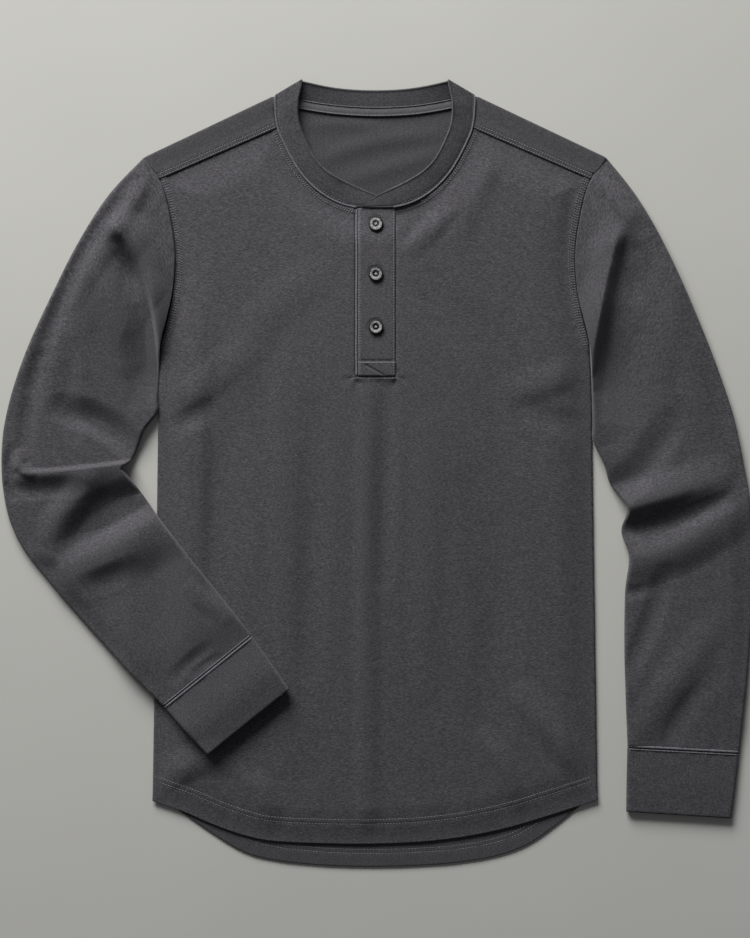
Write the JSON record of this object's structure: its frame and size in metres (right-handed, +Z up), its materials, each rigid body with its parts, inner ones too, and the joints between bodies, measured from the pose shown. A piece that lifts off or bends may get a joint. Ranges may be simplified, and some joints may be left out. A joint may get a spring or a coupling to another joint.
{
  "type": "henley shirt",
  "caption": "Long-sleeved henley shirt in dark heather knit, laid flat with one sleeve bent across the front; banded neck, buttoned placket, plain cuffs and curved hems.",
  "frame": {"origin": "on the face it rests on, on the centre line, midway between the high points of the shoulders and the front hem", "axes": "+Z up out of the surface the shirt lies on, through its thickness; +Y from the hem to the neck; +X to the wearer's left"},
  "size_m": [0.7506, 0.7873, 0.0152],
  "materials": {
    "heather_jersey": "matt heather knit",
    "heather_rib": "matt doubled knit",
    "twill_tape": "matt woven tape",
    "grey_horn": "half-gloss, mottled like horn"
  },
  "bodies": {
    "root": {"back_panel": "heather_jersey", "front_panel": "heather_jersey", "sleeve_right": "heather_jersey", "sleeve_left": "heather_jersey", "cuff_right": "heather_rib", "cuff_left": "heather_rib", "neckband": "heather_rib", "neck_tape": "twill_tape", "placket_under": "heather_jersey", "placket_over": "heather_jersey", "button_1": "grey_horn", "button_2": "grey_horn", "button_3": "grey_horn"}
  },
  "joints": []
}
